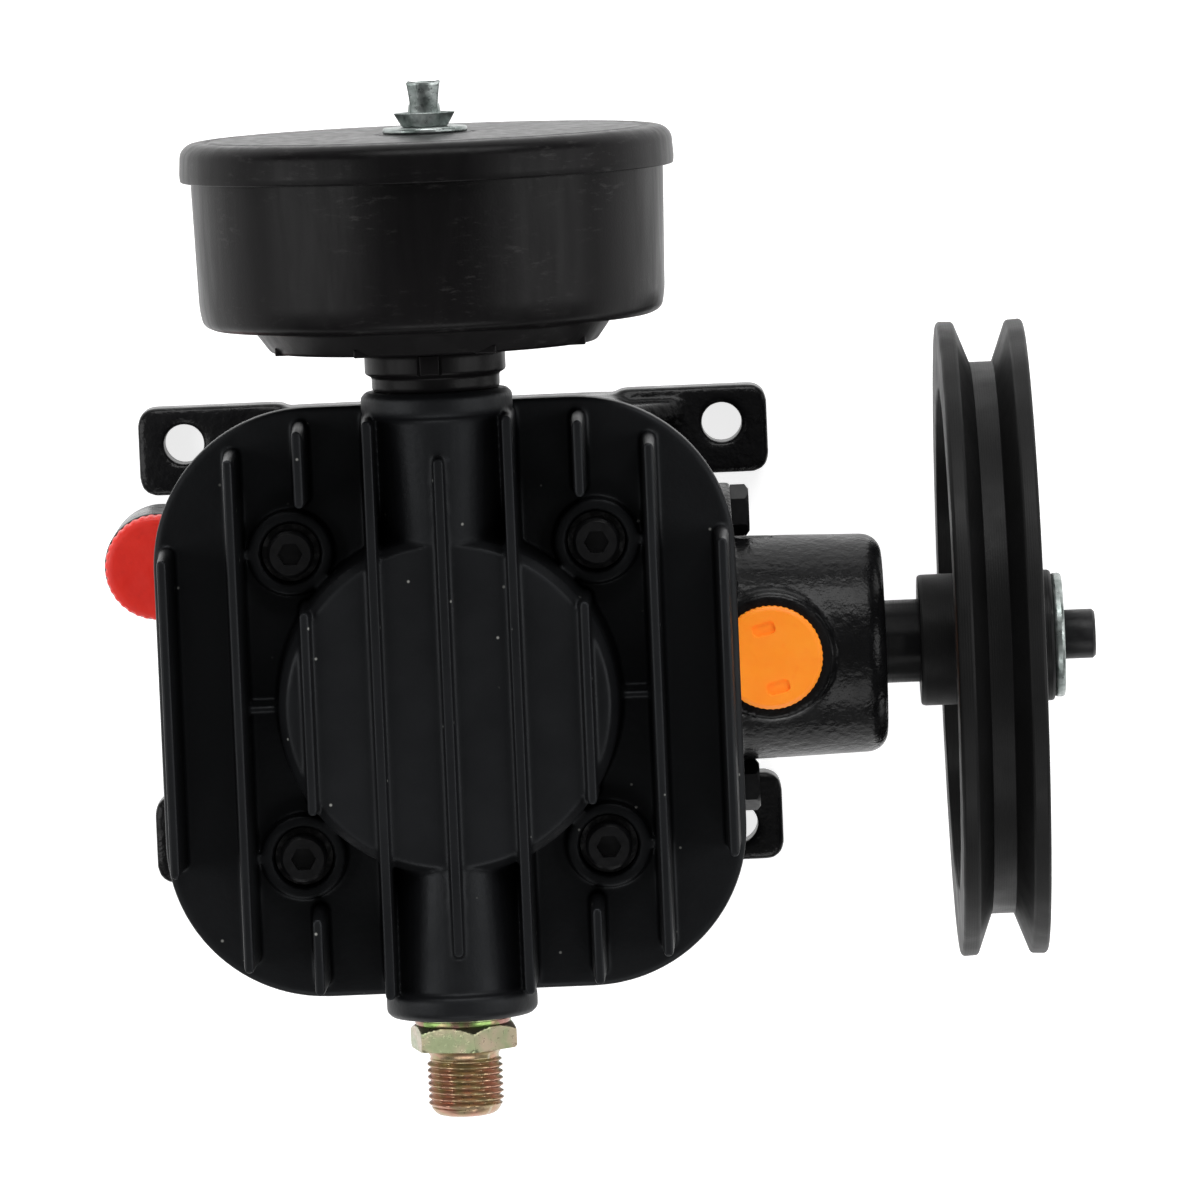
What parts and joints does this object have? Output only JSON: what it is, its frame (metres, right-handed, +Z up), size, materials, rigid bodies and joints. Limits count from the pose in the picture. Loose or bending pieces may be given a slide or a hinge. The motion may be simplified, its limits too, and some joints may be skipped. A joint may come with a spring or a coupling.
{
  "type": "belt driven piston air compressor",
  "caption": "Air-cooled single-cylinder piston compressor with finned head, intake filter, threaded outlet and V-belt pulley on its crankshaft.",
  "frame": {"origin": "centre of the four base holes, on the mounting plane under the feet", "axes": "+Z up along the cylinder, +X along the crankshaft to the pulley, +Y to the intake filter"},
  "size_m": [0.2843, 0.2881, 0.2933],
  "materials": {
    "cast_paint": "glossy black paint over rough iron casting",
    "head_paint": "satin black paint on die-cast aluminium",
    "pulley_paint": "satin black paint on turned cast iron",
    "filter_plastic": "black moulded plastic",
    "red_plastic": "soft red cap plastic",
    "orange_plastic": "soft orange cap plastic",
    "yellow_zinc": "yellow passivated zinc plate on steel",
    "zinc": "bright zinc plate",
    "black_oxide": "black oxide on hardened steel",
    "machined_steel": "ground and turned steel",
    "bare_aluminium": "machined cast aluminium",
    "ring_iron": "ground cast iron",
    "bearing_bronze": "bearing bronze",
    "gasket_fibre": "compressed fibre sheet",
    "seal_rubber": "nitrile rubber",
    "filter_paper": "pleated filter paper"
  },
  "bodies": {
    "casing": {"crankcase": "cast_paint", "front_housing": "cast_paint", "rear_cover": "cast_paint", "cylinder": "cast_paint", "cylinder_head": "head_paint", "filter_neck": "filter_plastic", "filter_housing": "filter_plastic", "outlet_fitting": "yellow_zinc", "outlet_washer": "yellow_zinc", "filter_stud": "zinc", "drain_washer": "zinc", "rear_bolts": "zinc", "head_screws": "black_oxide", "head_washers": "black_oxide", "front_bolts": "black_oxide", "drain_plug": "black_oxide", "valve_plate": "machined_steel", "suction_reed": "machined_steel", "delivery_reed": "machined_steel", "delivery_valve_stop": "machined_steel", "valve_rivets": "machined_steel", "front_bearing_outer": "machined_steel", "front_bearing_balls": "machined_steel", "rear_bearing_outer": "machined_steel", "rear_bearing_balls": "machined_steel", "front_gasket": "gasket_fibre", "rear_gasket": "gasket_fibre", "cylinder_base_gasket": "gasket_fibre", "valve_plate_gasket": "gasket_fibre", "head_gasket": "gasket_fibre", "shaft_seal": "seal_rubber", "filter_element": "filter_paper"},
    "crank": {"crankshaft": "machined_steel", "pulley_key": "machined_steel", "pulley": "pulley_paint", "pulley_washer": "zinc", "pulley_bolt": "black_oxide", "front_bearing_inner": "machined_steel", "rear_bearing_inner": "machined_steel"},
    "oil_gallery": {"gallery_plug": "machined_steel"},
    "piston_set": {"piston": "bare_aluminium", "top_ring": "ring_iron", "second_ring": "ring_iron", "oil_ring": "ring_iron", "gudgeon_pin": "machined_steel", "gudgeon_circlips": "machined_steel", "connecting_rod": "bare_aluminium", "small_end_bush": "bearing_bronze"},
    "big_end": {"big_end_block": "bare_aluminium", "big_end_cap": "bare_aluminium", "big_end_shells": "bearing_bronze", "big_end_bolts": "machined_steel"},
    "filter_lid": {"filter_cover": "filter_plastic", "filter_cover_washer": "zinc"},
    "wing": {"wing_nut": "zinc"},
    "inlet_plug": {"orange_cap": "orange_plastic"},
    "return_plug": {"red_cap": "red_plastic"}
  },
  "joints": [
    {"name": "crank_spin", "type": "hinge", "parent": "casing", "child": "crank", "pos_m": [0.1, 0, 0.095], "axis": [1, 0, 0], "continuous": true},
    {"name": "gallery_turn", "type": "hinge", "parent": "crank", "child": "oil_gallery", "pos_m": [-0.057, 0, 0.103], "axis": [1, 0, 0], "continuous": true},
    {"name": "piston_travel", "type": "hinge", "parent": "oil_gallery", "child": "piston_set", "pos_m": [0, 0, 0.111], "axis": [1, 0, 0], "continuous": true},
    {"name": "big_end_turn", "type": "hinge", "parent": "crank", "child": "big_end", "pos_m": [0, 0, 0.111], "axis": [1, 0, 0], "continuous": true},
    {"name": "filter_lid_off", "type": "slide", "parent": "casing", "child": "filter_lid", "axis": [0, 1, 0], "range_m": [0, 0.06]},
    {"name": "wing_nut_turn", "type": "hinge", "parent": "filter_lid", "child": "wing", "pos_m": [0, 0.165, 0.225], "axis": [0, 1, 0], "continuous": true},
    {"name": "orange_cap_pull", "type": "slide", "parent": "casing", "child": "inlet_plug", "axis": [0, 0, 1], "range_m": [0, 0.03]},
    {"name": "red_cap_pull", "type": "slide", "parent": "casing", "child": "return_plug", "axis": [0, 0, 1], "range_m": [0, 0.03]}
  ],
  "couplings": [
    {"joint": "gallery_turn", "follows": "crank_spin", "ratio": -2},
    {"joint": "piston_travel", "follows": "crank_spin", "ratio": 1},
    {"joint": "big_end_turn", "follows": "crank_spin", "ratio": -1}
  ]
}
